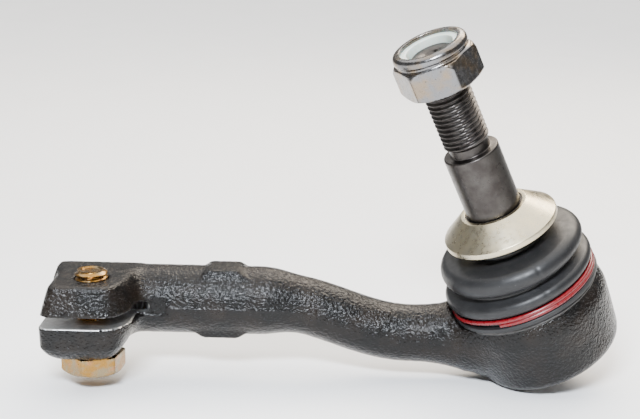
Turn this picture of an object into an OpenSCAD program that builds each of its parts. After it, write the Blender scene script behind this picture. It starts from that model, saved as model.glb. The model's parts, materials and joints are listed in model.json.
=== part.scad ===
// Tie rod end: a forged arm with a split clamp at one end and a sealed ball joint at the other.
// Origin: centre of the clamp bore's mouth. +X runs along the shank to the ball, +Z is up along
// the clamp bolt, and the clamp's ears reach out towards -Y. All sizes are in millimetres.

/* [Shank and neck] */
// Diameter of the straight shank
shank_d = 20.8; // [20.4:0.1:22]
// Length of the straight shank
shank_len = 66; // [62:1:68]
// Wall diameter of the threaded bore for the inner rod
bore_d = 12.4; // [12:0.1:12.6]
// Depth of the threaded bore
bore_depth = 58; // [45:1:58]
// Diameter of the neck at its slimmest
neck_d = 17.4; // [16:0.1:18]
// Drop of the neck's centre line below the shank's
neck_drop = 9.2; // [8:0.1:10]

/* [Clamp] */
// Width of the saw slot between the ears
slot_w = 3.2; // [2:0.1:4]
// Length of the saw slot
slot_len = 28.5; // [27:0.5:29]
// Reach of the ears from the bore's centre line
ear_reach = 28; // [26:0.5:30]
// Height of the lower ear's bearing face below the bore's centre line
lower_ear_h = 12.8; // [12:0.1:14]

/* [Clamp bolt] */
// Thread diameter of the clamp bolt
bolt_d = 10; // [8:1:10]
// Width across the flats of the bolt's head
bolt_af = 17; // [13:1:17]
// Height of the bolt's head
bolt_head_h = 6.2; // [5:0.1:7]
// Length of the bolt under its head
bolt_len = 25.5; // [24:0.5:30]
// Turn of the bolt's head about its axis
bolt_phase = 20; // [0:1:59]

/* [Ball housing] */
// Distance of the ball's centre from the clamp bore's mouth
ball_x = 144.8; // [143:0.1:146]
// Height of the ball's centre
ball_z = -1; // [-2:0.1:0]
// Lean of the housing's axis towards the clamp
lean_back = 25; // [23:0.1:26]
// Lean of the housing's axis towards -Y
lean_side = 11.6; // [10:0.1:13]
// Largest diameter of the housing
housing_d = 47.8; // [47:0.1:49]

/* [Ball stud] */
// Tilt at which the stud rests in its socket, away from the housing's axis
rest_tilt = 2; // [0:0.1:3]
// Direction of the axis of that tilt, round the housing's axis
tilt_axis_dir = 79; // [60:1:100]
// Diameter of the ball
ball_d = 27; // [26:0.1:27]
// Diameter of the stud's plain pin
pin_d = 16.6; // [16:0.1:17]
// Height of the pin's shoulder above the ball's centre
shoulder_h = 57.4; // [54:0.1:60]
// Diameter of the stud's thread over its crests
thread_d = 13.85; // [12:0.05:14]
// Length from the shoulder to the stud's end
thread_len = 32; // [28:0.5:34]

/* [Collar] */
// Diameter of the conical collar over its rim
collar_d = 34.6; // [32:0.1:36]
// Height of the collar's top face above the ball's centre
collar_top_h = 37.7; // [37:0.1:38.5]

/* [Lock nut] */
// Width across the flats of the nut
nut_af = 22; // [21:0.5:22]
// Height of the nut
nut_h = 12.8; // [12.4:0.1:14]
// Gap from the pin's shoulder to the nut
nut_gap = 22.2; // [20:0.1:24]
// Turn of the nut about its axis
nut_phase = 50; // [0:1:59]

/* [Dust boot] */
// Outer radius of the boot's upper fold
boot_r = 22; // [21.6:0.1:22.2]
// Outer radius of the boot's lower fold
boot_low_r = 23; // [22.8:0.1:23.2]
// Thickness of the boot's rubber
boot_t = 1.5; // [1.2:0.1:1.6]
// Diameter of the wire of the ring at the boot's base
base_wire_d = 1.3; // [1.1:0.1:1.4]

/* [Hidden] */
$fn = 64;
running = 0.05;      // radial clearance of a running fit
soft_gap = 0.3;      // room round rubber next to a piece on another body
beyond = 1;          // how far a cutter runs past the face that it cuts
thin = 0.01;         // a hair, to keep two cutters from meeting face to face

// Clamp
bolt_x = 12;
bolt_y = -13.8;
upper_ear_h = shank_d / 2;
ear_left = -1.8;
ear_right = 28;
ear_root = -2;       // the ears start this far in front of the bore's centre line
// Plan of the ears, seen from above
ear_plan = [[ear_left, ear_root], [ear_left, -ear_reach + 4], [ear_left + 1.2, -ear_reach + 1.2],
            [ear_left + 4, -ear_reach], [18.5, -ear_reach], [23, -ear_reach + 3.5], [25.5, -17],
            [ear_right, -11], [ear_right, ear_root]];
// Side view of each ear: [X, height from the parting plane]
upper_side = [[ear_left, 0], [1.1, upper_ear_h], [21.5, upper_ear_h], [ear_right, 0]];
lower_side = [[ear_left, 0], [ear_left, 5], [-0.6, 9.2], [2.4, lower_ear_h], [20.5, lower_ear_h],
              [26.4, 5.6], [ear_right, 0]];
// End view of each ear: [Y, height from the parting plane]
upper_end = [[-ear_reach, 0], [-ear_reach + 1, upper_ear_h - 1.6], [-ear_reach + 2.4, upper_ear_h],
             [ear_root, upper_ear_h], [ear_root, 0]];
lower_end = [[-ear_reach, 0], [-ear_reach + 0.6, 8], [-ear_reach + 2.4, 11], [-ear_reach + 5, lower_ear_h],
             [ear_root, lower_ear_h], [ear_root, 0]];

// Spanner pads: [start and end of the crest, start and end of the foot]
pad_h = 10.7;
pad_w = 11.2;
top_pad = [45.7, 54.9, 42.2, 57.2];
low_pad = [44, 54.8, 40, 57.2];

// Neck
neck_bend_r = 40;    // radius of the neck's two bends
neck_slope = 17;     // slope of the neck between its bends
neck_start = 66.5;
neck_end = 124;
cone_len = 8;        // length of the cone that eases the shank into the neck
knuckle = 0.12;      // how far the ball over each joint of the neck stands out of it

// Housing, in the ball's frame: radius and height from the ball's centre
housing_r = housing_d / 2;
seat_bore_r = 15.8;
face_h = 8.2;        // machined face that the boot's lip sits over
rim_r = 19.2;        // upstanding rim inside the boot's base
rim_h = 14.2;
mouth_r = 13.2;
throat_r = 11.2;
throat_h = 8.2;
floor_h = -15.5;

// Ball stud
ball_r = ball_d / 2;
ball_flat_h = -10.9;
stud_neck_r = 6.2;
collar_seat_r = pin_d / 2 + 0.5;
bush_seat_r = 8;
bush_h0 = 24.2;
collar_h = 7.4;
collar_cone_h = 5.6;
collar_foot_h = collar_top_h - collar_h;
undercut_h = 3;

// Insert of the lock nut
insert_r = 9.3;
insert_drop = 4.2;   // foot of the insert below the nut's top
insert_t = 3.2;

// Boot and its rings
base_ring_r = 22.2;
base_ring_h = 11.4;
base_ring_pitch = 1.2;
neck_ring_wire_r = 0.4;
neck_ring_r = 12;
neck_ring_h = 28.4;
bush_t = 1.3;

// Seat
seat_r = seat_bore_r - running;
socket_r = ball_r + running;
seat_gap = 0.4;

tilt_axis = [cos(tilt_axis_dir), sin(tilt_axis_dir), 0];

// Places a child in the housing's frame: origin at the ball's centre, +Z out of the mouth
module at_ball() {
    translate([ball_x, 0, ball_z]) rotate([lean_side, -lean_back, 0]) children();
}

// Places a child in the stud's frame: the housing's frame, tipped by the resting tilt
module at_stud() {
    at_ball() rotate(a = rest_tilt, v = tilt_axis) children();
}

// A straight round bar or cutter along Z between two heights
module bar(r, h0, h1) {
    translate([0, 0, h0]) cylinder(r = r, h = h1 - h0);
}

// A frustum along Z between two heights
module frustum(r0, r1, h0, h1) {
    translate([0, 0, h0]) cylinder(r1 = r0, r2 = r1, h = h1 - h0);
}

// One turn of round wire
module wire_turn(r, wire_r, h) {
    translate([0, 0, h]) rotate_extrude() translate([r, 0]) circle(r = wire_r, $fn = 24);
}

function arc(cx, cy, r, a0, a1, n = 8) =
    [for (i = [0:n]) [cx + r * cos(a0 + (a1 - a0) * i / n), cy + r * sin(a0 + (a1 - a0) * i / n)]];

// One ear: its plan, side view and end view, each extruded and kept where all three meet
module ear(side_view, end_view, side) {
    tall = 20;
    wide = 80;
    mirror([0, 0, side < 0 ? 1 : 0]) intersection() {
        linear_extrude(tall) polygon(ear_plan);
        translate([0, wide / 2, 0]) rotate([90, 0, 0]) linear_extrude(wide) polygon(side_view);
        translate([-wide / 2, 0, 0]) rotate([90, 0, 90]) linear_extrude(wide) polygon(end_view);
    }
}

// Raised pad for a spanner, with sloped ends
module pad(ends, side) {
    sunk = 2.5;
    spread = 1.5;
    mirror([0, 0, side < 0 ? 1 : 0]) translate([0, pad_w / 2, 0]) rotate([90, 0, 0])
        linear_extrude(pad_w)
            polygon([[ends[2] - spread, pad_h - sunk], [ends[3] + spread, pad_h - sunk],
                     [ends[1], pad_h], [ends[0], pad_h]]);
}

// One bend of the neck: starts at the origin along +X and curves down, or up if side is -1
module bend(side) {
    mirror([0, 0, side < 0 ? 1 : 0]) translate([0, 0, -neck_bend_r]) rotate([90, 0, 0])
        rotate([0, 0, 90 - neck_slope]) rotate_extrude(angle = neck_slope)
            translate([neck_bend_r, 0]) circle(d = neck_d);
}

// Curved neck from the shank to the housing: down, straight along the slope, then level
module neck() {
    bend_x = neck_bend_r * sin(neck_slope);
    bend_z = neck_bend_r * (1 - cos(neck_slope));
    slope_len = (neck_drop - 2 * bend_z) / sin(neck_slope);
    x1 = neck_start + bend_x;
    x2 = x1 + slope_len * cos(neck_slope);
    x3 = x2 + bend_x;
    for (joint = [[neck_start, 0], [x1, -bend_z], [x2, bend_z - neck_drop], [x3, -neck_drop]])
        translate([joint[0], 0, joint[1]]) sphere(r = neck_d / 2 + knuckle);
    translate([neck_start, 0, 0]) bend(1);
    translate([x1, 0, -bend_z]) rotate([0, 90 + neck_slope, 0]) cylinder(d = neck_d, h = slope_len);
    translate([x3, 0, -neck_drop]) mirror([1, 0, 0]) bend(-1);
    translate([x3, 0, -neck_drop]) rotate([0, 90, 0]) cylinder(d = neck_d, h = neck_end - x3);
    translate([shank_len - 1, 0, 0]) rotate([0, 90, 0])
        cylinder(r1 = shank_d / 2 - 0.2, r2 = neck_d / 2 - 0.6, h = cone_len + 1);
}

// Outer shape of the ball housing, turned about the joint's axis
module housing_shell() {
    low_r = housing_r - 2.5;
    corner = 3.6;
    rotate_extrude() polygon(concat(
        [[0, floor_h], [low_r - corner, floor_h]],
        arc(low_r - corner, floor_h + corner, corner, -90, 0),
        arc(housing_r - 2.4, 2.4, 2.4, -3, 56),
        [[housing_r - 1.8, face_h - 0.8], [housing_r - 2.5, face_h], [rim_r, face_h],
         [rim_r, rim_h - 0.6], [rim_r - 0.6, rim_h], [0, rim_h]]));
}

// Everything bored or turned away inside and above the housing
module housing_cut() {
    lip_r = seat_bore_r - 1.2;
    bar(lip_r, floor_h - beyond, floor_h + 0.7);
    bar(seat_bore_r, floor_h + 0.6, 3.2);
    frustum(seat_bore_r, throat_r + 0.6, 3.2, throat_h);
    bar(throat_r, throat_h - beyond, throat_h + beyond);
    frustum(throat_r, mouth_r, throat_h + 0.8, rim_h);
    bar(mouth_r, rim_h - thin, 40);
    difference() {
        bar(boot_low_r + 0.4, face_h, 40);
        bar(rim_r, face_h - beyond, 41);
    }
}

module forged_body() {
    color([0.13, 0.125, 0.12]) difference() {
        union() {
            rotate([0, 90, 0]) cylinder(d = shank_d, h = shank_len);
            ear(upper_side, upper_end, 1);
            ear(lower_side, lower_end, -1);
            pad(top_pad, 1);
            pad(low_pad, -1);
            difference() {
                neck();
                at_ball() housing_cut();
            }
            at_ball() difference() {
                housing_shell();
                housing_cut();
            }
        }
        rotate([0, 90, 0]) translate([0, 0, -5]) cylinder(d = bore_d, h = bore_depth + 5);
        translate([-5, -40, -slot_w / 2]) cube([slot_len - slot_w / 2 + 5, 40, slot_w]);
        translate([slot_len - slot_w / 2, 0, 0]) rotate([90, 0, 0]) cylinder(d = slot_w, h = 40);
        translate([bolt_x, bolt_y, 0]) {
            bar(bolt_d / 2 + running, 0, 30);
            bar(bolt_d / 2 + 0.3, -30, 0);
        }
    }
}

module clamp_bolt() {
    head_r = bolt_af / sqrt(3);
    head_top = -lower_ear_h - 0.02;
    end = head_top + bolt_len;
    color([0.72, 0.6, 0.3]) translate([bolt_x, bolt_y, 0]) {
        intersection() {
            translate([0, 0, head_top - bolt_head_h]) rotate([0, 0, bolt_phase])
                cylinder(r = head_r, h = bolt_head_h, $fn = 6);
            frustum(bolt_af / 2 - 0.3, bolt_af / 2 + 6, head_top - bolt_head_h, head_top);
        }
        bar(bolt_d / 2, head_top - beyond, end - 0.9);
        frustum(bolt_d / 2, bolt_d / 2 - 0.9, end - 0.9, end);
    }
}

module ball_stud() {
    thread_r = thread_d / 2;
    end = shoulder_h + thread_len;
    color([0.35, 0.34, 0.33]) at_stud() {
        difference() {
            sphere(r = ball_r);
            bar(ball_r, -ball_r - beyond, ball_flat_h);
        }
        bar(stud_neck_r, 8, 19.5);
        frustum(stud_neck_r, bush_seat_r, 19.5, 23);
        bar(bush_seat_r, 23, collar_foot_h);
        bar(collar_seat_r, collar_foot_h, collar_top_h);
        bar(pin_d / 2, collar_top_h - beyond, shoulder_h - 0.5);
        frustum(pin_d / 2, pin_d / 2 - 0.5, shoulder_h - 0.5, shoulder_h);
        bar(thread_r - 0.9, shoulder_h - beyond, shoulder_h + undercut_h);
        frustum(thread_r - 0.9, thread_r, shoulder_h + undercut_h, shoulder_h + undercut_h + 0.9);
        bar(thread_r, shoulder_h + undercut_h + 0.9, end - 1);
        frustum(thread_r, thread_r - 1, end - 1, end);
    }
}

module stud_collar() {
    rim_h0 = collar_foot_h;
    rim_h1 = collar_top_h - collar_cone_h;
    flat_r = 10.1;
    color([0.75, 0.71, 0.58]) at_stud() difference() {
        union() {
            bar(collar_d / 2, rim_h0, rim_h1);
            frustum(collar_d / 2, flat_r, rim_h1, collar_top_h);
        }
        bar(collar_seat_r, rim_h0 - beyond, collar_top_h + beyond);
    }
}

module lock_nut() {
    hex_r = nut_af / sqrt(3);
    foot = shoulder_h + nut_gap;
    hex_h = 8.7;
    crown_r = nut_af / 2 + 0.05;
    lip_r = 8.7;
    color([0.72, 0.72, 0.7]) at_stud() translate([0, 0, foot]) difference() {
        union() {
            intersection() {
                rotate([0, 0, nut_phase]) cylinder(r = hex_r, h = hex_h + 1, $fn = 6);
                rotate_extrude() polygon([[0, 0], [nut_af / 2 - 0.2, 0], [hex_r, 1], [hex_r, hex_h - 1.2],
                                          [crown_r - 0.6, hex_h + 0.9], [0, hex_h + 0.9]]);
            }
            rotate_extrude() polygon(concat([[0, hex_h - 1], [crown_r - 0.7, hex_h - 1],
                [crown_r - 0.7, hex_h + 0.6], [crown_r, hex_h + 1.4]],
                arc(crown_r - 2.2, nut_h - 2.2, 2.2, 0, 90), [[0, nut_h]]));
        }
        bar(thread_d / 2 + running, -beyond, nut_h);
        frustum(thread_d / 2 + 0.8, thread_d / 2, -thin, 0.8);
        bar(insert_r, nut_h - insert_drop, nut_h - insert_drop + insert_t + 0.1);
        bar(lip_r, nut_h - 2, nut_h + beyond);
    }
}

module nut_insert() {
    foot = shoulder_h + nut_gap + nut_h - insert_drop;
    color([0.88, 0.9, 0.86]) at_stud() difference() {
        bar(insert_r - running, foot + running, foot + insert_t);
        bar(thread_d / 2 + running, foot - beyond, foot + insert_t + beyond);
    }
}

// Half section of the boot's skin: the outer line, then the inner line back
module dust_boot() {
    lip_h = face_h + soft_gap;
    inner_r = rim_r + soft_gap;
    groove_r = base_ring_r - base_wire_d / 2 - soft_gap;
    neck_r0 = bush_seat_r + bush_t + running + soft_gap;
    neck_r1 = neck_ring_r - neck_ring_wire_r - soft_gap;
    top_h = collar_foot_h - soft_gap;
    low_h = base_ring_h + 3.4;   // centre of the lower fold's round, and its radius
    low_t = 2.2;
    high_h = 22.1;               // centre of the upper fold's round, and its radius
    high_t = 3.4;
    waist_in = 17;               // the waist is a bead that takes the lower wall's end
    waist_out = 19.6;
    waist_h = 17.9;
    wall_in = 17.8;
    wall_out = 18.7;
    wall_h = 18.9;
    web_h = 26.2;                // top of the web between the upper fold and the neck
    web_r = 15;
    color([0.07, 0.07, 0.075]) {
        // Lip, groove and lower fold, seated on the housing
        at_ball() rotate_extrude() polygon(concat(
            [[inner_r, lip_h], [base_ring_r + 0.4, lip_h], [base_ring_r + 0.4, lip_h + 1.3],
             [groove_r, lip_h + 1.6], [groove_r, base_ring_h + 1.6]],
            arc(boot_low_r - low_t, low_h, low_t, -60, 70),
            [[wall_out, low_h + low_t + 0.1], [wall_out, wall_h], [wall_in, wall_h],
             [wall_in, low_h + low_t - boot_t]],
            arc(boot_low_r - low_t, low_h, low_t - boot_t, 60, -50),
            [[inner_r, rim_h - 0.6]]));
        // Waist, upper fold and neck, seated on the tilted stud
        at_stud() rotate_extrude() polygon(concat(
            [[waist_in, waist_h], [waist_out, waist_h], [waist_out, waist_h + 0.7]],
            arc(boot_r - high_t, high_h, high_t, -60, 85),
            [[web_r, web_h], [neck_r1, web_h], [neck_r1, top_h], [neck_r0, top_h],
             [neck_r0, web_h - boot_t], [web_r, web_h - boot_t]],
            arc(boot_r - high_t, high_h, high_t - boot_t, 85, -50),
            [[waist_in, high_h - high_t + boot_t]]));
    }
}

module boot_base_ring() {
    color([0.62, 0.03, 0.05]) at_ball()
        for (turn = [-0.5, 0.5])
            wire_turn(base_ring_r, base_wire_d / 2, base_ring_h + turn * base_ring_pitch);
}

module boot_neck_ring() {
    color([0.5, 0.5, 0.5]) at_stud()
        for (turn = [-0.5, 0.5])
            wire_turn(neck_ring_r, neck_ring_wire_r, neck_ring_h + turn * 0.7);
}

module boot_neck_bush() {
    color([0.25, 0.25, 0.26]) at_stud() difference() {
        bar(bush_seat_r + running + bush_t, bush_h0, collar_foot_h - 0.2);
        bar(bush_seat_r + running, bush_h0 - beyond, collar_foot_h + beyond);
    }
}

module seat_ring() {
    color([0.9, 0.88, 0.8]) at_ball() difference() {
        union() {
            bar(seat_r, seat_gap / 2, 3.1);
            frustum(seat_r, throat_r + 0.8, 3.1, throat_h - 0.3);
        }
        sphere(r = socket_r);
        bar(throat_r, 5, throat_h + beyond);
    }
}

module seat_cup() {
    foot = floor_h + 3.2;
    color([0.9, 0.88, 0.8]) at_ball() difference() {
        union() {
            frustum(seat_r - 1.4, seat_r, foot, foot + 1.4);
            bar(seat_r, foot + 1.4, -seat_gap / 2);
        }
        sphere(r = socket_r);
        bar(7, foot - beyond, -5);
    }
}

module preload_spring() {
    color([0.4, 0.4, 0.42]) at_ball() rotate_extrude()
        polygon([[8, floor_h + 3.15], [8, floor_h + 2.6], [14.6, floor_h + 2.25], [14.6, floor_h + 2.8]]);
}

module cover_plate() {
    color([0.3, 0.3, 0.31]) at_ball() difference() {
        bar(seat_bore_r - running, floor_h + 0.6, floor_h + 2.2);
        bar(9, floor_h, floor_h + 1.1);
    }
}

forged_body();
clamp_bolt();
ball_stud();
stud_collar();
lock_nut();
nut_insert();
dust_boot();
boot_base_ring();
boot_neck_ring();
boot_neck_bush();
seat_ring();
seat_cup();
preload_spring();
cover_plate();
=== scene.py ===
"""Looks of the tie rod end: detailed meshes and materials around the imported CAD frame."""

import json
import math

import bmesh
import bpy
import numpy as np
from mathutils import Matrix, Vector, noise


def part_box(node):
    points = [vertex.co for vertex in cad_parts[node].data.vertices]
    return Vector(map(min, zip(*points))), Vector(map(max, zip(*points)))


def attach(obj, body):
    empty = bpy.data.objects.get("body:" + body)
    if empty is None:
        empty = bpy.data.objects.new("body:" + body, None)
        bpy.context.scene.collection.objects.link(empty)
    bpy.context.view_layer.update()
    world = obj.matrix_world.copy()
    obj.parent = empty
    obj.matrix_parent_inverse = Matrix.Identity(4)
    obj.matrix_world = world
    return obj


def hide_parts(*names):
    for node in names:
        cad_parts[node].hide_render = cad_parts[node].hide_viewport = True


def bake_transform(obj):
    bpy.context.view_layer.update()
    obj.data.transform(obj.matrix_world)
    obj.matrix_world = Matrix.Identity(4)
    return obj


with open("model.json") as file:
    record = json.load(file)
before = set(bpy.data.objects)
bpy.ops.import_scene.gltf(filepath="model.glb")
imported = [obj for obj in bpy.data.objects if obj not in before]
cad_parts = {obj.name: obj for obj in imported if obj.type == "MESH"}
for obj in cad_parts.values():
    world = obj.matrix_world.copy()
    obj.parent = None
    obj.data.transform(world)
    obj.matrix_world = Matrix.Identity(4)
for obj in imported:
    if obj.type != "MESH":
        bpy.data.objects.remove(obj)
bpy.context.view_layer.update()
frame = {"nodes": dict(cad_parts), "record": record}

MM = 0.001
TURN = 2 * math.pi

# ---- Driving sizes in millimetres and phases in degrees: the same ones as in the CAD part ----
SHANK_R = 10.4
NECK_R = 8.7
NECK_DROP = 9.2
BORE_R = 6.2
BORE_DEPTH = 58
SLOT_W = 3.2
SLOT_LEN = 28.5
EAR_REACH = 28
EAR_TOP = SHANK_R
EAR_FOOT = 12.8
PAD_H = 10.7
PAD_W = 11.2
BOLT_R = 5
BOLT_AF = 17
BOLT_HEAD_H = 6.2
BOLT_LEN = 25.5
BOLT_PHASE = 20
HOUSING_R = 23.9
HOUSING_FLOOR = -15.5
FACE_H = 8.2
RIM_R = 19.2
RIM_H = 14.2
CLEAR_R = 23.4
SEAT_BORE_R = 15.8
THROAT_R = 11.2
BALL_R = 13.5
BALL_FLAT = -10.9
PIN_R = 8.3
SHOULDER_H = 57.4
THREAD_R = 6.925
THREAD_LEN = 32
PITCH = 1.5
COLLAR_R = 17.3
COLLAR_TOP = 37.7
COLLAR_FOOT = 30.3
CONE_H = 5.6
NUT_AF = 22
NUT_H = 12.8
NUT_PHASE = 50
NUT_FOOT = SHOULDER_H + 22.2
BOOT_R = 22
BOOT_LOW_R = 23
RING_R = 22.2
RING_H = 11.4
WIRE_R = 0.65
BOLT_FOOT = -EAR_FOOT - 0.02  # the head's bearing face, a hair under the lower ear

# ---- Sizes that only this model has, in millimetres unless they say otherwise ----
NECK_FROM = 64.5       # where the arm starts to bend down, along X
NECK_RUN = 42.5        # how far the bend goes on
TAPER_FROM = 61        # where the shank starts to thin to the neck
TAPER_RUN = 14
FLARE = 2.6            # how much the neck widens into the housing
FLARE_FROM = 108
FLARE_RUN = 16
ARM_END = 128          # inside the housing
FLASH = 0.32           # height of the forging's flash line
FLASH_W = 0.42         # and its width
FLASH_END = 82
FORGING_STEP = 0.6     # grid of the forging's distance field
FINE_STEP = 0.25       # grid of the hexagons' fields
GRAIN = 0.055          # depth of the forging's rough skin
BORE_ROOT_R = 7.1      # the clamp bore where its thread is a piece of its own
BORE_THREAD_END = 54.8
BORE_CHAMFER_R = 8.1
STUD_NECK_R = 6.2
BUSH_SEAT_R = 8
COLLAR_SEAT_R = 8.8
UNDERCUT_R = 6.3       # at the shoulder, narrowing to UNDERCUT_END_R at the thread
UNDERCUT_END_R = 6.0
BOOT_FOOT_H = 8.6
BOOT_TOP_H = 29.95
FOLD_H = 22.1          # the boot's upper fold: its middle, and its bend outside and inside
FOLD_OUT = 3.4
FOLD_IN = 1.9
LOW_FOLD_H = 14.8      # and its lower fold
LOW_FOLD_OUT = 2.2
LOW_FOLD_IN = 0.7
SEAM_AT = 1.31         # where the boot's mould seam runs, in radians back from the housing's X
BASE_WIRE_START = 243  # degrees round the housing where the base ring's wire starts, on its lower turn

# ---- The camera, fitted to the view: degrees, metres, and a lens in millimetres ----
CAMERA_TURN, CAMERA_LIFT, CAMERA_ROLL = 2.4, 14.0, 0.65
CAMERA_AT = (0.09804, -0.45209, 0.14177)
CAMERA_LENS = 87.2

joints = {joint["name"]: joint for joint in frame["record"]["behaviour"]["joints"]}
ball = Vector(joints["tilt_direction"]["pos_m"])
bolt_at = Vector(joints["clamp_bolt_turn"]["pos_m"])


def along(axis, origin):
    """A frame at origin whose +Z is axis and whose -Y looks towards the row's -Y."""
    z = Vector(axis).normalized()
    x = Vector((0, 1, 0)).cross(z).normalized()
    y = z.cross(x)
    made = Matrix((x, y, z)).transposed().to_4x4()
    made.translation = origin
    return made


HOUSING = along(joints["tilt_direction"]["axis"], ball)
STUD = along(joints["stud_spin"]["axis"], ball)
STUD_AXIS = STUD.col[2][:3]
BOLT = Matrix.Translation(bolt_at)


# ---- Shape helpers ----
def arc(cx, cy, r, start, end, steps=8):
    """Points on an arc, from one angle in degrees to the other."""
    turns = [math.radians(start + (end - start) * k / steps) for k in range(steps + 1)]
    return [(cx + r * math.cos(t), cy + r * math.sin(t)) for t in turns]


def rounded(corners, steps=5):
    """The closed outline through corners (x, y, radius), each cut to an arc of its radius. A radius of
    0 leaves the corner as it is, as the two ends of an open stretch have to be."""
    made = []
    for i, (x, y, r) in enumerate(corners):
        at = Vector((x, y))
        if not r:
            made.append((x, y))
            continue
        before = (Vector(corners[i - 1][:2]) - at).normalized()
        after = (Vector(corners[(i + 1) % len(corners)][:2]) - at).normalized()
        half = before.angle(after) / 2
        middle = at + (before + after).normalized() * (r / math.sin(half))
        first = at + before * (r / math.tan(half)) - middle
        last = at + after * (r / math.tan(half)) - middle
        sweep = math.atan2(first.cross(last), first.dot(last))
        for k in range(steps + 1):
            t = sweep * k / steps
            made.append((middle.x + first.x * math.cos(t) - first.y * math.sin(t),
                         middle.y + first.x * math.sin(t) + first.y * math.cos(t)))
    return made


def finer(outline, low, high, step):
    """The outline with more points on its stretches between two heights."""
    made = []
    for (r0, h0), (r1, h1) in zip(outline, outline[1:] + outline[:1]):
        made.append((r0, h0))
        if low <= min(h0, h1) and max(h0, h1) <= high:
            count = int(abs(h1 - h0) / step)
            made += [(r0 + (r1 - r0) * k / count, h0 + (h1 - h0) * k / count) for k in range(1, count)]
    return made


def as_piece(name, points, faces, where, sharp=35):
    """A mesh object from points in millimetres in the frame where, shaded smooth but for sharp edges."""
    mesh = bpy.data.meshes.new(name)
    mesh.from_pydata((np.asarray(points, float) * MM).tolist(), [], [list(face) for face in faces])
    mesh.transform(where)
    work = bmesh.new()
    work.from_mesh(mesh)
    bmesh.ops.remove_doubles(work, verts=work.verts, dist=1e-7)
    bmesh.ops.dissolve_degenerate(work, edges=work.edges, dist=1e-7)
    bmesh.ops.recalc_face_normals(work, faces=work.faces)
    work.to_mesh(mesh)
    work.free()
    mesh.shade_smooth()
    mesh.set_sharp_from_angle(angle=math.radians(sharp))
    piece = bpy.data.objects.new(name, mesh)
    bpy.context.scene.collection.objects.link(piece)
    return piece


def lathe(name, outline, where, sides=160, shape=None, sharp=35, gap=0):
    """Turns an outline of (radius, height) about +Z. An outline that starts and ends on the axis is
    left open there; any other is closed. shape(angle, r, h) gives the radius there. gap leaves out
    that many degrees, centred on the -Y side."""
    solid = outline[0][0] == 0 and outline[-1][0] == 0
    start = math.radians(-90 + gap / 2)
    sweep = TURN - math.radians(gap)
    angles = start + sweep * np.arange(sides) / (sides - 1 if gap else sides)
    angle, r = np.meshgrid(angles, np.array([p[0] for p in outline]), indexing="ij")
    h = np.broadcast_to(np.array([p[1] for p in outline]), r.shape)
    if shape:
        r = np.where(r > 0, shape(angle, r, h), 0)
    points = np.stack([r * np.cos(angle), r * np.sin(angle), h], -1).reshape(-1, 3)
    n, m = r.shape
    faces = [(i * m + j, (i + 1) % n * m + j, (i + 1) % n * m + (j + 1) % m, i * m + (j + 1) % m)
             for i in range(n - 1 if gap else n) for j in range(m - 1 if solid else m)]
    if gap:
        faces += [tuple(range(m)), tuple((n - 1) * m + j for j in range(m))]
    return as_piece(name, points, faces, where, sharp)


def thread_cut(angle, h, depth, low, high, fade=1.2):
    """Depth of a right-hand thread's groove at an angle and height, running out at both ends."""
    phase = (h / PITCH - angle / TURN) % 1
    off_root = np.abs(phase - 0.5) * 2
    groove = np.clip((0.86 - off_root) / 0.72, 0, 1)
    ends = np.clip((h - low) / fade, 0, 1) * np.clip((high - h) / fade, 0, 1)
    return depth * groove * ends


def wire(name, path, radius, where, sides=14):
    """Round wire along a path of points, with a rounded blunt end on each end."""
    path = np.asarray(path, float)
    ahead = np.gradient(path, axis=0)
    ahead /= np.linalg.norm(ahead, axis=1)[:, None]
    out = path * (1, 1, 0)
    out /= np.linalg.norm(out, axis=1)[:, None]
    side = np.cross(ahead, out)
    turns = TURN * np.arange(sides) / sides
    rings = [(path[0] - ahead[0] * radius * 0.25, out[0], side[0], radius * 0.55)]
    rings += [(p, o, s, radius) for p, o, s in zip(path, out, side)]
    rings += [(path[-1] + ahead[-1] * radius * 0.25, out[-1], side[-1], radius * 0.55)]
    points = np.concatenate([p + r * (np.cos(turns)[:, None] * o + np.sin(turns)[:, None] * s)
                             for p, o, s, r in rings])
    count = len(rings)
    faces = [(i * sides + j, (i + 1) * sides + j, (i + 1) * sides + (j + 1) % sides,
              i * sides + (j + 1) % sides) for i in range(count - 1) for j in range(sides)]
    faces += [tuple(range(sides)), tuple((count - 1) * sides + j for j in range(sides))]
    return as_piece(name, points, faces, where, sharp=60)


# ---- Solids from distance fields ----
def soft_max(a, b, k):
    """The larger of two distances, rounded over k where they meet."""
    t = np.clip(0.5 + 0.5 * (a - b) / k, 0, 1)
    return b + (a - b) * t + k * t * (1 - t)


def soft_min(a, b, k):
    """The smaller of two distances, with a fillet of about k where they meet."""
    return -soft_max(-a, -b, k)


def planes(u, v, corners, k):
    """Distance to a convex outline whose corners run counterclockwise, rounded over k."""
    made = None
    for (u0, v0), (u1, v1) in zip(corners, corners[1:] + corners[:1]):
        long = math.hypot(u1 - u0, v1 - v0)
        side = ((u - u0) * (v1 - v0) - (v - v0) * (u1 - u0)) / long
        made = side if made is None else soft_max(made, side, k)
    return made


CORNERS = np.array([(i, j, k) for i in (0, 1) for j in (0, 1) for k in (0, 1)])
EDGES = [(a, b) for a in range(8) for b in range(a + 1, 8)
         if np.abs(CORNERS[a] - CORNERS[b]).sum() == 1]


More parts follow.
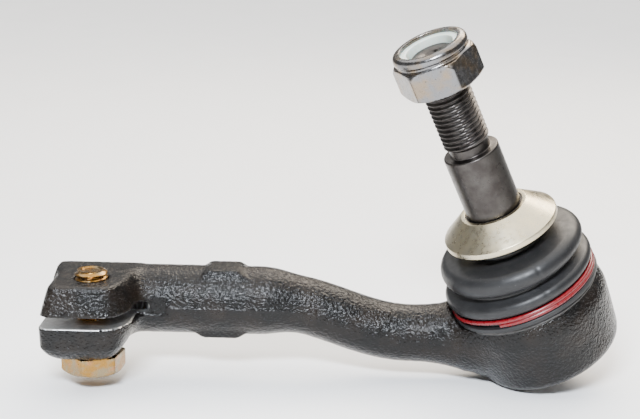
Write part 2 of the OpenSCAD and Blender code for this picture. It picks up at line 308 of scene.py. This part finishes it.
def surface_of(distance, low, high, step):
    """Points and quads of the surface where distance(points) is zero, by surface nets."""
    low = np.array(low, float)
    count = np.ceil((np.array(high) - low) / step).astype(int) + 1
    lines = [low[k] + step * np.arange(count[k]) for k in range(3)]
    field = np.empty(count, np.float32)
    y, z = np.meshgrid(lines[1], lines[2], indexing="ij")
    flat = np.stack([np.zeros(y.size), y.ravel(), z.ravel()], 1)
    for i, x in enumerate(lines[0]):
        flat[:, 0] = x
        field[i] = distance(flat).reshape(y.shape)
    inside = field < 0
    total = sum(inside[i:i + count[0] - 1, j:j + count[1] - 1, k:k + count[2] - 1].astype(np.int8)
                for i, j, k in CORNERS)
    cells = np.argwhere((total > 0) & (total < 8))
    values = np.stack([field[tuple((cells + corner).T)] for corner in CORNERS], 1)
    spot = np.zeros((len(cells), 3))
    hits = np.zeros(len(cells))
    for a, b in EDGES:
        crossed = (values[:, a] < 0) != (values[:, b] < 0)
        gap = np.where(crossed, values[:, a] - values[:, b], 1)
        t = np.where(crossed, values[:, a] / gap, 0)[:, None]
        spot += np.where(crossed[:, None], CORNERS[a] + (CORNERS[b] - CORNERS[a]) * t, 0)
        hits += crossed
    points = low + (cells + spot / hits[:, None]) * step
    number = np.full(total.shape, -1, np.int32)
    number[tuple(cells.T)] = np.arange(len(cells))
    quads = []
    for axis in range(3):
        one = np.eye(3, dtype=int)[axis]
        u, v = np.eye(3, dtype=int)[(axis + 1) % 3], np.eye(3, dtype=int)[(axis + 2) % 3]
        here = inside[tuple(slice(0, count[k] - one[k]) for k in range(3))]
        there = inside[tuple(slice(one[k], None) for k in range(3))]
        edge = np.argwhere(here != there)
        kept = (edge >= u + v).all(1) & (edge < np.array(total.shape) + (1 - u - v)).all(1)
        edge = edge[kept & (edge < np.array(total.shape)).all(1)]
        out = here[tuple(edge.T)]
        ring = np.stack([number[tuple((edge - a * u - b * v).T)]
                         for a, b in ((1, 1), (0, 1), (0, 0), (1, 0))], 1)
        quads.append(np.where(out[:, None], ring, ring[:, ::-1]))
    return points, np.concatenate(quads)


def slopes(distance, points, reach=0.02):
    """The field's gradient at each point."""
    return np.stack([(distance(points + reach * one) - distance(points - reach * one)) / (2 * reach)
                     for one in np.eye(3)], 1)


def settle(distance, points, rounds=3):
    """The points moved onto the surface where distance is zero."""
    for _ in range(rounds):
        slope = slopes(distance, points)
        size = np.maximum((slope * slope).sum(1), 0.2)
        points = points - slope * (distance(points) / size)[:, None]
    return points


def in_frame(points, where):
    """Row points in millimetres, seen from a frame."""
    back = np.array(where.inverted())
    return points @ back[:3, :3].T + back[:3, 3] / MM


# ---- The forging ----
def ease(t):
    """From 0 to 1 along half a cosine wave, level at both ends."""
    return (1 - np.cos(math.pi * np.clip(t, 0, 1))) / 2


def neck_z(x):
    """Height of the arm's centre line."""
    return -NECK_DROP * ease((x - NECK_FROM) / NECK_RUN)


def arm(x, y, z):
    """Shank and neck: a round bar on a curved centre line, with the forging's flash line."""
    middle = neck_z(x)
    radius = NECK_R + (SHANK_R - NECK_R) * (1 - ease((x - TAPER_FROM) / TAPER_RUN)) \
        + FLARE * np.clip((x - FLARE_FROM) / FLARE_RUN, 0, 1) ** 2
    flash = FLASH * np.exp(-((z - middle + 0.1) / FLASH_W) ** 2) * np.clip((FLASH_END - x) / 10, 0, 1)
    cosine = np.cos(np.arctan(neck_z(x + 0.5) - neck_z(x - 0.5)))
    return np.hypot(y, (z - middle) * cosine) - radius - flash


EAR_PLAN = [(-1.8, 4), (-1.8, -EAR_REACH), (19.5, -EAR_REACH), (24, -EAR_REACH + 4),
            (26.2, -17), (28.2, -10), (28.2, 4)]


def ear(x, y, z, side):
    """One ear: the plan drawn in with height for the forging draft, cut to its outer face."""
    up = z * side
    if side > 0:
        draw = 0.26 * np.clip(up, 0, 20)
        top, round_top, slope = EAR_TOP, 1.6, 0.32
    else:
        draw = 0.5 * np.clip(up - 8, 0, 20) + 0.04 * np.clip(up, 0, 20)
        top, round_top, slope = EAR_FOOT, 4.2, 0.5
    plan = planes(x, y, EAR_PLAN, 3.2) + draw
    lean = (x - 27.8 + slope * up * 1.2) / math.hypot(1, slope * 1.2)
    made = soft_max(plan, up - top, round_top)
    made = soft_max(made, lean, 3)
    return np.maximum(made, -up)


def pad(x, y, z, side):
    """A raised spanner pad with sloped ends and drafted sides."""
    up = z * side
    ends = (45.7, 54.9) if side > 0 else (44, 54.8)
    made = soft_max(up - PAD_H, np.abs(y) - PAD_W / 2 + 0.35 * (up - PAD_H), 0.5)
    for end, way in zip(ends, (-1, 1)):
        made = soft_max(made, ((x - end) * way + 1.35 * (up - PAD_H)) / 1.68, 0.6)
    return np.maximum(made, PAD_H - 3.5 - up)


def housing_outside(r, h):
    """The housing's turned outline: floor, rounded corner, tapered side, shoulder and top face."""
    made = soft_max(-h + HOUSING_FLOOR, r - 21.9 - 0.125 * (h + 10), 3.8)
    made = soft_max(made, r - HOUSING_R, 1.5)
    made = soft_max(made, 0.93 * (r - 22.2) + 0.37 * (h - 6.6), 1.1)
    return soft_max(made, h - FACE_H, 0.5)


def housing_inside(r, h):
    """What is bored out of the housing, widest first."""
    pocket = np.maximum(r - SEAT_BORE_R, h - 3.2)
    taper = np.maximum(r - SEAT_BORE_R + (h - 3.2) * 0.8, np.maximum(3.1 - h, h - FACE_H))
    mouth = np.maximum(r - THROAT_R - np.clip(h - FACE_H - 0.8, 0, 10) * 0.38, FACE_H - 1 - h)
    return np.minimum(pocket, np.minimum(taper, mouth))


def forging(points):
    """Distance to the forged body, with its machined cuts. Each feature is worked out only for the
    points near it, to save time."""
    x, y, z = points.T
    made = np.maximum(np.maximum(arm(x, y, z), x - ARM_END), -x)
    near = x < 40
    if near.any():
        ears = soft_min(ear(x[near], y[near], z[near], 1), ear(x[near], y[near], z[near], -1), 0.3)
        body = soft_min(made[near], ears, 3.4)
        made[near] = soft_max(body, z[near] - EAR_TOP - 0.05, 0.5)
    near = (x > 34) & (x < 66)
    if near.any():
        for side in (1, -1):
            made[near] = soft_min(made[near], pad(x[near], y[near], z[near], side), 0.7)
    near = x > 96
    if near.any():
        local = in_frame(points[near], HOUSING)
        r, h = np.hypot(local[:, 0], local[:, 1]), local[:, 2]
        body = soft_min(made[near], housing_outside(r, h), 6)
        clear = np.maximum(FACE_H - h, r - CLEAR_R)
        body = np.maximum(body, -clear)
        rim = soft_max(soft_max(r - RIM_R, h - RIM_H, 0.6), FACE_H - 4 - h, 0.1)
        body = np.minimum(body, rim)
        made[near] = np.maximum(body, -housing_inside(r, h))
    near = x < BORE_DEPTH + 8
    if near.any():
        x, y, z = points[near].T
        bore = np.hypot(y, z) - np.where(x < 55, BORE_ROOT_R, BORE_R)
        bore = np.maximum(bore, x - BORE_DEPTH + 0.5 * np.hypot(y, z))
        bore = np.minimum(bore, np.hypot(y, z) - BORE_CHAMFER_R + x)
        slot = np.maximum(np.abs(z) - SLOT_W / 2, np.maximum(y + 1, x - SLOT_LEN + SLOT_W / 2))
        end = np.maximum(np.hypot(x - SLOT_LEN + SLOT_W / 2, z) - SLOT_W / 2, y + 1)
        bx, by = x - bolt_at.x / MM, y - bolt_at.y / MM
        hole = np.hypot(bx, by) - np.where(z > 0, BOLT_R + 0.12, BOLT_R + 0.35)
        pocket = np.maximum(np.maximum(np.abs(z) - 2.3, y + 9.7), x - 33.5)
        pocket = np.maximum(pocket, SLOT_LEN - 4 - x)
        cut = np.minimum(np.minimum(np.minimum(bore, pocket), slot), np.minimum(end, hole))
        made[near] = np.maximum(made[near], -cut)
    return made


def on_cut(points, normals):
    """Whether each point lies on a face that was sawn, drilled or turned after forging."""
    x, y, z = points.T
    local = in_frame(points, HOUSING)
    r, h = np.hypot(local[:, 0], local[:, 1]), local[:, 2]
    level = np.abs(normals[:, 2]) > 0.5
    sawn = (np.abs(z) < SLOT_W / 2 + 0.25) & (y < -2) & (x < SLOT_LEN + 0.2) & level
    turned = (x > 100) & (r < 17)
    bored = (np.hypot(y, z) < 8.3) & (x < 60)
    return sawn | turned | bored


def make_forging():
    """The forging, rough where no tool cut it, and which of its faces one did cut."""
    points, quads = surface_of(forging, (-3, -30, -25), (172, 28, 24), FORGING_STEP)
    points = settle(forging, points)
    slope = slopes(forging, points)
    slope /= np.maximum(np.linalg.norm(slope, axis=1), 1e-6)[:, None]
    rough = 1.0 - on_cut(points, slope)
    lift = np.array([noise.noise(Vector(p) * 0.75) + 0.6 * noise.noise(Vector(p) * 1.7)
                     for p in points])
    points = points + slope * (GRAIN * lift * rough)[:, None]
    made = as_piece("forging", points, quads, Matrix(), sharp=50)
    return made, machined_faces(made)


def machined_faces(piece):
    """1 for each face that a tool cut, 0 for each as forged."""
    points = np.array([face.center for face in piece.data.polygons]) / MM
    normals = np.array([face.normal for face in piece.data.polygons])
    return on_cut(points, normals).astype(int).tolist()


def make_bore_thread():
    """The clamp bore's thread: split by the saw slot as far as that goes, whole beyond it."""
    def threaded(angle, r, h):
        return r + np.where(r < 7, thread_cut(angle, h, 0.75, 0, 56), 0)

    made = []
    slot_end = SLOT_LEN - 0.6
    back = BORE_ROOT_R + 0.15
    for name, low, high, gap in (("bore_thread_split", 0.9, slot_end, 31),
                                 ("bore_thread_whole", slot_end, BORE_THREAD_END, 0)):
        rows = np.arange(low, high, PITCH / 12)
        outline = [(back, low)] + [(BORE_R, h) for h in rows] + [(BORE_R, high), (back, high)]
        made.append(lathe(name, outline, along((1, 0, 0), Vector()), 72, shape=threaded, sharp=60,
                          gap=gap))
    return made


def make_face():
    """The bright facing that was turned for the boot, round the housing's rim."""
    outline = rounded([(RIM_R - 0.2, FACE_H - 1.6, 0), (21.7, FACE_H - 1.6, 0.2),
                       (22.15, FACE_H - 0.5, 0.15), (21.8, FACE_H + 0.05, 0.15),
                       (RIM_R - 0.2, FACE_H + 0.05, 0)])
    return lathe("housing_face", outline, HOUSING, 200)


def make_rolled_lip():
    """The housing's lower edge, rolled in under the cover plate."""
    low, high = HOUSING_FLOOR - 0.1, HOUSING_FLOOR + 0.57
    inner, outer = 14.6, SEAT_BORE_R + 0.5
    outline = rounded([(inner, low, 0.25), (outer, low, 0.25), (outer, high, 0.05), (inner, high, 0.1)])
    return lathe("rolled_lip", outline, HOUSING, 160)


# ---- Turned and threaded parts ----
def make_stud():
    """Ball, neck, the collar's seat, plain pin, undercut, thread and the centre mark in its end."""
    top = SHOULDER_H + THREAD_LEN
    outline = [(0, BALL_FLAT)] + arc(0, 0, BALL_R, -53.8, 62.7, 30)
    outline += [(STUD_NECK_R, 13), (STUD_NECK_R, 19.5), (BUSH_SEAT_R, 23), (BUSH_SEAT_R, COLLAR_FOOT),
                (COLLAR_SEAT_R, COLLAR_FOOT), (COLLAR_SEAT_R, COLLAR_TOP - 0.3),
                (PIN_R, COLLAR_TOP - 0.3), (PIN_R, SHOULDER_H - 0.7)]
    outline += arc(PIN_R - 0.5, SHOULDER_H - 0.5, 0.5, 0, 90, 4)
    outline += [(UNDERCUT_R, SHOULDER_H)] + arc(UNDERCUT_R, SHOULDER_H + 0.3, 0.3, 270, 180, 3)
    outline += [(UNDERCUT_END_R, SHOULDER_H + 2.6), (THREAD_R, SHOULDER_H + 3.5), (THREAD_R, top - 1),
                (THREAD_R - 1, top), (2.2, top), (1.6, top - 0.5), (0, top - 1.1)]
    outline = finer(outline, SHOULDER_H + 3.4, top, 0.125)
    low, high = SHOULDER_H + 3.2, top + 0.4

    def threaded(angle, r, h):
        return r - np.where((h > low) & (r > 6.4), thread_cut(angle, h, 0.72, low, high), 0)

    return lathe("stud", outline, STUD, 144, shape=threaded, sharp=40)


def make_collar():
    """The conical collar on the stud."""
    outline = rounded([(8.85, COLLAR_FOOT, 0.1), (COLLAR_R, COLLAR_FOOT, 0.45),
                       (COLLAR_R, COLLAR_TOP - CONE_H, 0.4), (10.1, COLLAR_TOP, 0.3),
                       (8.85, COLLAR_TOP, 0.15)])
    return lathe("collar", outline, STUD, 192)


def hexagon(x, y, flats, phase, k):
    """Distance to a hexagon with its corners eased over k."""
    made = None
    for side in range(6):
        turn = math.radians(phase + 30 + 60 * side)
        face = x * math.cos(turn) + y * math.sin(turn) - flats / 2
        made = face if made is None else soft_max(made, face, k)
    return made


def nut_field(points):
    """Distance to the lock nut: hexagon, groove, round crown, bore and the ring's seat."""
    x, y, h = points.T
    r = np.hypot(x, y)
    flats = hexagon(x, y, NUT_AF, NUT_PHASE, 0.5)
    flats = soft_max(flats, 0.5 * (h - 7.7) + 0.87 * (r - 12.5), 0.25)
    flats = soft_max(flats, 0.87 * (0.35 - h) + 0.5 * (r - 11.7), 0.25)
    flats = soft_max(soft_max(flats, h - 9.6, 0.3), -h, 0.2)
    crown = soft_max(r - 11.08 + 0.045 * np.clip(h - 11.07, -3, 3) ** 2, h - NUT_H, 1.6)
    crown = np.maximum(crown, 8 - h)
    groove = np.hypot((r - 11.35) * 0.9, h - 9.75) - 0.75
    made = soft_max(np.minimum(flats, crown), -groove, 0.25)
    lip = np.maximum(r - 8.65, 11 - h)
    seat = np.maximum(np.maximum(r - 9.3, 8.6 - h), h - 11.8)
    hole = np.minimum(np.minimum(r - THREAD_R - 0.05, seat), lip)
    return soft_max(made, -hole, 0.2)


def head_field(points):
    """Distance to the bolt's head: hexagon, chamfer and shallow dish."""
    x, y, h = points.T
    r = np.hypot(x, y)
    made = hexagon(x, y, BOLT_AF, BOLT_PHASE, 0.5)
    made = soft_max(made, 0.87 * (BOLT_FOOT - BOLT_HEAD_H + 0.5 - h) + 0.5 * (r - 8.2), 0.3)
    made = soft_max(made, BOLT_FOOT - BOLT_HEAD_H - h, 0.3)
    made = soft_max(made, h - BOLT_FOOT, 0.2)
    dish = np.hypot(r, h - BOLT_FOOT + BOLT_HEAD_H + 9.4) - 11
    return soft_max(made, -dish, 0.6)


def solid_of(name, field, low, high, step, where, sharp=45):
    """A piece from a distance field given in its own frame."""
    points, quads = surface_of(field, low, high, step)
    return as_piece(name, settle(field, points), quads, where, sharp)


def make_bolt():
    """The clamp bolt's head and its threaded shank."""
    end = BOLT_FOOT + BOLT_LEN
    outline = [(0, BOLT_FOOT - 0.5), (BOLT_R - 0.05, BOLT_FOOT - 0.5), (BOLT_R - 0.05, BOLT_FOOT + 6.5),
               (BOLT_R, BOLT_FOOT + 8), (BOLT_R, end - 0.9), (BOLT_R - 0.9, end), (3.2, end),
               (2.9, end - 0.35), (0, end - 0.4)]
    outline = finer(outline, BOLT_FOOT + 7, end, 0.15)

    def threaded(angle, r, h):
        return r - np.where(r > 3.6, thread_cut(angle, h, 0.8, BOLT_FOOT + 7, end + 0.5), 0)

    shank = lathe("bolt_shank", outline, BOLT, 96, shape=threaded, sharp=40)
    head = solid_of("bolt_head", head_field, (-11, -11, -20), (11, 11, -12), FINE_STEP, BOLT)
    return [head, shank]


def make_nut():
    """The lock nut, on the stud's thread."""
    return solid_of("nut", nut_field, (-14, -14, -1), (14, 14, 14), FINE_STEP,
                    STUD @ Matrix.Translation((0, 0, NUT_FOOT * MM)))


def make_insert():
    """The plastic locking ring in the nut's crown."""
    low, high = NUT_FOOT + 8.65, NUT_FOOT + 11.75
    outline = rounded([(6.98, low, 0.1), (9.2, low, 0.2), (9.2, high, 0.5), (6.98, high, 0.3)])
    return lathe("nut_ring", outline, STUD, 120)


# ---- Boot and its wire rings ----
def make_boot():
    """Bellows whose base is set on the housing's axis and whose neck is set on the stud's."""
    outer = rounded([(19.5, BOOT_FOOT_H, 0), (22.9, BOOT_FOOT_H, 0.35), (22.9, 10.0, 0.3),
                     (21.3, 10.3, 0.3), (21.3, 12.6, 0.3), (22.0, 12.95, 0)])[:-1]
    outer += arc(BOOT_LOW_R - LOW_FOLD_OUT, LOW_FOLD_H, LOW_FOLD_OUT, -55, 62, 12)
    outer += arc(19.55, 18.15, 0.95, 225, 135, 6)
    outer += arc(BOOT_R - FOLD_OUT, FOLD_H, FOLD_OUT, -50, 82, 18)
    outer += [(17, 25.75), (15, 26.05), (12.6, 26.25)] + arc(12.0, 26.95, 0.7, 250, 180, 4)
    outer += [(11.3, 29.0), (11.5, 29.4), (11.5, BOOT_TOP_H)]
    inner = [(9.75, BOOT_TOP_H), (9.75, 27.2), (10.6, 24.7), (15, 24.55)]
    inner += arc(BOOT_R - FOLD_OUT, FOLD_H, FOLD_IN, 82, -42, 12)
    inner += arc(19.5, 18.2, 2.5, 150, 215, 6)
    inner += arc(BOOT_LOW_R - LOW_FOLD_OUT, LOW_FOLD_H, LOW_FOLD_IN, 62, -50, 6)
    inner += [(19.5, 13.4)]
    outline = outer + inner

    def moulded(angle, r, h):
        off = np.mod(angle + SEAM_AT + math.pi / 2, math.pi) - math.pi / 2
        seam = 0.2 * np.exp(-(off / 0.02) ** 2)
        uneven = 0.04 * np.sin(3 * angle) * np.clip(h - 14, 0, 4)
        return r - np.where((h > 13.5) & (r > 18.5), seam, 0) + uneven

    boot = lathe("boot", outline, Matrix(), 240, sharp=60, shape=moulded)
    for vertex in boot.data.vertices:
        share = float(ease((vertex.co.z / MM - 15) / 8))
        vertex.co = (HOUSING @ vertex.co).lerp(STUD @ vertex.co, share)
    return boot


def coil(name, radius, low, pitch, wire_r, turns, start, where):
    """Wire rings side by side: level turns, with a short step up from each to the next."""
    path = []
    for k in range(int(turns * 90) + 1):
        turned = k / 90
        whole = math.floor(turned)
        level = whole + float(ease((turned - whole - 0.82) / 0.16))
        angle = math.radians(start) + TURN * turned
        path.append((radius * math.cos(angle), radius * math.sin(angle), low + pitch * level))
    return wire(name, path, wire_r, where)


# ---- Materials ----
class Look:
    """A principled material with helpers that add procedural detail in row-frame millimetres."""

    def __init__(self, name, colour, roughness=0.5, metallic=0.0, **settings):
        self.material = bpy.data.materials.new(name)
        self.material.use_nodes = True
        self.tree = self.material.node_tree
        self.shader = self.tree.nodes["Principled BSDF"]
        self.shader.inputs["Metallic"].default_value = metallic
        for key, value in settings.items():
            self.shader.inputs[key.replace("_", " ")].default_value = value
        place = self.tree.nodes.new("ShaderNodeTexCoord").outputs["Object"]
        self.place = self.vector("MULTIPLY", place, (1000, 1000, 1000))
        self.colour = colour
        self.roughness = roughness
        self.bump = None

    def node(self, kind, inputs, **settings):
        made = self.tree.nodes.new(kind)
        for key, value in settings.items():
            setattr(made, key, value)
        for key, value in inputs.items():
            if isinstance(value, bpy.types.NodeSocket):
                self.tree.links.new(value, made.inputs[key])
            else:
                made.inputs[key].default_value = value
        return made

    def vector(self, operation, a, b):
        made = self.node("ShaderNodeVectorMath", {0: a, 1: b}, operation=operation)
        return made.outputs["Value" if operation == "DOT_PRODUCT" else "Vector"]

    def noise(self, size, detail=3.0, rough=0.55, stretch=(1, 1, 1)):
        """Noise whose blotches are about size millimetres across."""
        at = self.vector("MULTIPLY", self.place, [k / size for k in stretch])
        return self.node("ShaderNodeTexNoise", {"Vector": at, "Scale": 1.0, "Detail": detail,
                                                "Roughness": rough}).outputs["Fac"]

    def rings(self, axis, size):
        """Fine tool marks: noise that changes only along an axis."""
        far = self.vector("DOT_PRODUCT", self.place, tuple(axis))
        return self.node("ShaderNodeTexNoise", {"W": far, "Scale": 1 / size, "Detail": 2.0},
                         noise_dimensions="1D").outputs["Fac"]

    def ramp(self, value, low, high, to_low=0.0, to_high=1.0):
        return self.node("ShaderNodeMapRange", {"Value": value, "From Min": low, "From Max": high,
                                                "To Min": to_low, "To Max": to_high}).outputs["Result"]

    def tint(self, mask, colour):
        """Mixes the colour in where mask is 1."""
        base = self.colour if isinstance(self.colour, bpy.types.NodeSocket) else (*self.colour, 1)
        self.colour = self.node("ShaderNodeMixRGB", {"Fac": mask, "Color1": base,
                                                     "Color2": (*colour, 1)}).outputs["Color"]

    def rough(self, mask, low, high):
        self.roughness = self.ramp(mask, 0.3, 0.7, low, high)

    def raise_by(self, height, depth, strength=1.0):
        """Bump of depth millimetres where height is 1."""
        inputs = {"Height": height, "Distance": depth * MM, "Strength": strength}
        if self.bump:
            inputs["Normal"] = self.bump
        self.bump = self.node("ShaderNodeBump", inputs).outputs["Normal"]

    def done(self):
        for key, value in (("Base Color", self.colour), ("Roughness", self.roughness)):
            if isinstance(value, bpy.types.NodeSocket):
                self.tree.links.new(value, self.shader.inputs[key])
            else:
                self.shader.inputs[key].default_value = (*value, 1) if key == "Base Color" else value
        if self.bump:
            self.tree.links.new(self.bump, self.shader.inputs["Normal"])
        return self.material


def black_forging():
    look = Look("black_forging", (0.003, 0.0027, 0.0025), Specular_IOR_Level=0.22)
    look.tint(look.ramp(look.noise(9), 0.45, 0.65), (0.0085, 0.006, 0.0045))
    look.tint(look.ramp(look.noise(0.6, 1), 0.68, 0.76), (0.018, 0.018, 0.021))
    look.rough(look.noise(2.2), 0.13, 0.26)
    look.raise_by(look.noise(0.9, 2, 0.5), 0.45)
    look.raise_by(look.noise(0.5, 1), 0.14)
    return look.done()


def cut_steel():
    look = Look("cut_steel", (0.5, 0.5, 0.5), metallic=1.0)
    look.tint(look.ramp(look.noise(3), 0.4, 0.7), (0.36, 0.355, 0.35))
    look.rough(look.noise(1), 0.35, 0.5)
    look.raise_by(look.noise(0.6, 2, 0.5, (1, 6, 6)), 0.02)
    return look.done()


def yellow_zinc():
    look = Look("yellow_zinc", (0.27, 0.145, 0.035), metallic=1.0)
    look.tint(look.ramp(look.noise(4), 0.45, 0.62), (0.22, 0.17, 0.1))
    look.tint(look.ramp(look.noise(2.4), 0.6, 0.72), (0.3, 0.15, 0.07))
    look.rough(look.noise(1.3), 0.2, 0.36)
    look.raise_by(look.noise(0.5), 0.015)
    return look.done()


def stud_steel():
    look = Look("stud_steel", (0.062, 0.057, 0.053), metallic=1.0)
    look.tint(look.ramp(look.noise(5), 0.4, 0.65), (0.04, 0.035, 0.033))
    look.tint(look.ramp(look.noise(0.45, 1), 0.72, 0.78), (0.02, 0.02, 0.02))
    look.rough(look.noise(1.2), 0.26, 0.42)
    look.raise_by(look.rings(STUD_AXIS, 0.12), 0.006)
    look.raise_by(look.noise(0.35), 0.012)
    return look.done()


def turned_steel():
    look = Look("turned_steel", (0.55, 0.48, 0.33), metallic=1.0)
    look.tint(look.ramp(look.noise(5), 0.4, 0.7), (0.46, 0.42, 0.32))
    look.rough(look.noise(1.5), 0.24, 0.36)
    look.raise_by(look.rings(STUD_AXIS, 0.09), 0.012)
    return look.done()


def bright_zinc():
    look = Look("bright_zinc", (0.15, 0.148, 0.15), metallic=1.0)
    look.tint(look.ramp(look.noise(5), 0.45, 0.65), (0.19, 0.15, 0.11))
    look.tint(look.ramp(look.noise(0.6, 1), 0.7, 0.76), (0.08, 0.075, 0.07))
    look.rough(look.noise(1.4), 0.16, 0.34)
    look.raise_by(look.noise(0.9, 3), 0.03)
    return look.done()


def white_nylon():
    look = Look("white_nylon", (0.55, 0.6, 0.54), Subsurface_Weight=0.15, Subsurface_Scale=0.001)
    look.tint(look.ramp(look.noise(2), 0.5, 0.7), (0.48, 0.52, 0.45))
    look.rough(look.noise(0.8), 0.38, 0.55)
    look.raise_by(look.noise(0.4), 0.02)
    return look.done()


def black_rubber():
    look = Look("black_rubber", (0.009, 0.009, 0.0095), Specular_IOR_Level=0.34)
    look.tint(look.ramp(look.noise(6), 0.45, 0.7), (0.013, 0.013, 0.0135))
    look.tint(look.ramp(look.noise(0.4, 1), 0.72, 0.78), (0.05, 0.05, 0.05))
    look.rough(look.noise(2), 0.36, 0.5)
    look.raise_by(look.noise(0.3), 0.012)
    return look.done()


def red_wire():
    look = Look("red_wire", (0.13, 0.001, 0.004), Coat_Weight=0.06, Coat_Roughness=0.12)
    look.tint(look.ramp(look.noise(1.5), 0.5, 0.75), (0.09, 0.001, 0.003))
    look.rough(look.noise(0.9), 0.22, 0.38)
    look.raise_by(look.noise(0.35), 0.006)
    return look.done()


def spring_steel():
    look = Look("spring_steel", (0.4, 0.39, 0.38), metallic=1.0)
    look.tint(look.ramp(look.noise(3), 0.4, 0.7), (0.28, 0.27, 0.27))
    look.rough(look.noise(1), 0.25, 0.4)
    look.raise_by(look.noise(0.4), 0.01)
    return look.done()


def seat_plastic():
    look = Look("seat_plastic", (0.78, 0.74, 0.62), Subsurface_Weight=0.1, Subsurface_Scale=0.001)
    look.tint(look.ramp(look.noise(4), 0.4, 0.7), (0.72, 0.68, 0.55))
    look.rough(look.noise(1.2), 0.35, 0.5)
    look.raise_by(look.noise(0.5), 0.015)
    return look.done()


def dark_plastic():
    look = Look("dark_plastic", (0.045, 0.045, 0.048))
    look.tint(look.ramp(look.noise(3), 0.4, 0.7), (0.06, 0.06, 0.062))
    look.rough(look.noise(1), 0.4, 0.55)
    look.raise_by(look.noise(0.4), 0.015)
    return look.done()


def dark_steel():
    look = Look("dark_steel", (0.09, 0.088, 0.086), metallic=1.0)
    look.tint(look.ramp(look.noise(4), 0.4, 0.7), (0.05, 0.048, 0.046))
    look.rough(look.noise(1.2), 0.35, 0.5)
    look.raise_by(look.noise(0.5), 0.02)
    return look.done()


def dress(piece, body, slot, material, *nodes):
    """Puts a finished piece on its body, with its material, in place of CAD nodes."""
    piece.data.materials.append(material)
    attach(piece, body)
    if nodes:
        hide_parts(*nodes)
    return piece


# ---- Assembly ----
def assemble():
    steel = cut_steel()
    forging_piece, machined = make_forging()
    forging_piece.data.materials.append(black_forging())
    forging_piece.data.materials.append(steel)
    forging_piece.data.polygons.foreach_set("material_index", machined)
    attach(forging_piece, "housing")
    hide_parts("forged_body")
    for piece in make_bore_thread():
        dress(piece, "housing", "black_forging", steel)
    dark = dark_steel()
    dress(make_face(), "housing", "black_forging", dark)
    dress(make_rolled_lip(), "housing", "black_forging", dark)

    zinc = yellow_zinc()
    head, shank = make_bolt()
    dress(head, "bolt", "yellow_zinc", zinc, "clamp_bolt")
    dress(shank, "bolt", "yellow_zinc", zinc, "clamp_bolt")
    dress(make_stud(), "stud", "stud_steel", stud_steel(), "ball_stud")
    dress(make_collar(), "stud", "turned_steel", turned_steel(), "stud_collar")
    dress(make_nut(), "nut", "bright_zinc", bright_zinc(), "lock_nut")
    dress(make_insert(), "nut_carrier", "white_nylon", white_nylon(), "nut_insert")
    dress(coil("base_wire", RING_R, RING_H - 0.6, 1.2, WIRE_R, 1.8, BASE_WIRE_START, HOUSING),
          "housing", "red_wire", red_wire(), "boot_base_ring")
    spring = spring_steel()
    dress(coil("neck_wire", 12, 28.05, 0.7, 0.4, 1.8, 40, STUD), "boot_neck", "spring_steel", spring,
          "boot_neck_ring")

    boot = make_boot()
    boot.data.materials.append(black_rubber())
    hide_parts("dust_boot")
    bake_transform(boot)

    plastic = seat_plastic()
    for name, look in (("seat_ring", plastic), ("seat_cup", plastic), ("preload_spring", spring),
                       ("boot_neck_bush", dark_plastic()), ("cover_plate", dark)):
        node = frame["nodes"][name]
        node.data.materials.clear()
        node.data.materials.append(look)


# ---- Floor, light and camera ----
def backdrop():
    low = min(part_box(name)[0].z for name in frame["nodes"])
    bpy.ops.mesh.primitive_plane_add(size=6, location=(0.08, 0.3, low - 0.0002))
    floor = bpy.context.object
    floor.name = "floor"
    look = Look("floor_white", (0.93, 0.93, 0.93), roughness=0.6)
    look.rough(look.noise(30), 0.55, 0.65)
    floor.data.materials.append(look.done())


def light(name, location, size, power, colour, target=(0.09, 0, 0.02)):
    """A rectangular lamp that looks at target, in metres and watts."""
    data = bpy.data.lights.new(name, "AREA")
    data.shape = "RECTANGLE"
    data.size, data.size_y = size
    data.energy = power
    data.color = colour
    lamp = bpy.data.objects.new(name, data)
    lamp.location = location
    lamp.rotation_euler = (Vector(target) - Vector(location)).to_track_quat("-Z", "Y").to_euler()
    bpy.context.scene.collection.objects.link(lamp)


def lights():
    world = bpy.data.worlds.new("studio")
    world.use_nodes = True
    world.node_tree.nodes["Background"].inputs["Color"].default_value = (1, 1, 1, 1)
    world.node_tree.nodes["Background"].inputs["Strength"].default_value = 0.3
    bpy.context.scene.world = world
    light("overhead", (0.1, 0.7, 1.7), (3.2, 3.2), 110, (1.0, 0.98, 0.95), (0.1, 0.7, 0))
    light("key", (0.02, -0.55, 0.42), (0.2, 0.09), 14, (0.86, 0.92, 1.0))
    light("back", (0.25, 0.4, 0.45), (0.5, 0.2), 4, (1.0, 0.86, 0.68))


def camera():
    turn, lift, roll = (math.radians(a) for a in (CAMERA_TURN, CAMERA_LIFT, CAMERA_ROLL))
    back = Vector((math.sin(turn) * math.cos(lift), -math.cos(turn) * math.cos(lift), math.sin(lift)))
    right = Vector((math.cos(turn), math.sin(turn), 0))
    up = back.cross(right)
    right, up = (right * math.cos(roll) + up * math.sin(roll),
                 up * math.cos(roll) - right * math.sin(roll))
    data = bpy.data.cameras.new("camera")
    data.lens = CAMERA_LENS
    data.clip_start = 0.01
    made = bpy.data.objects.new("camera", data)
    made.matrix_world = Matrix.Translation(CAMERA_AT) @ \
        Matrix((right, up, back)).transposed().to_4x4()
    bpy.context.scene.collection.objects.link(made)
    bpy.context.scene.camera = made


assemble()
backdrop()
lights()
camera()
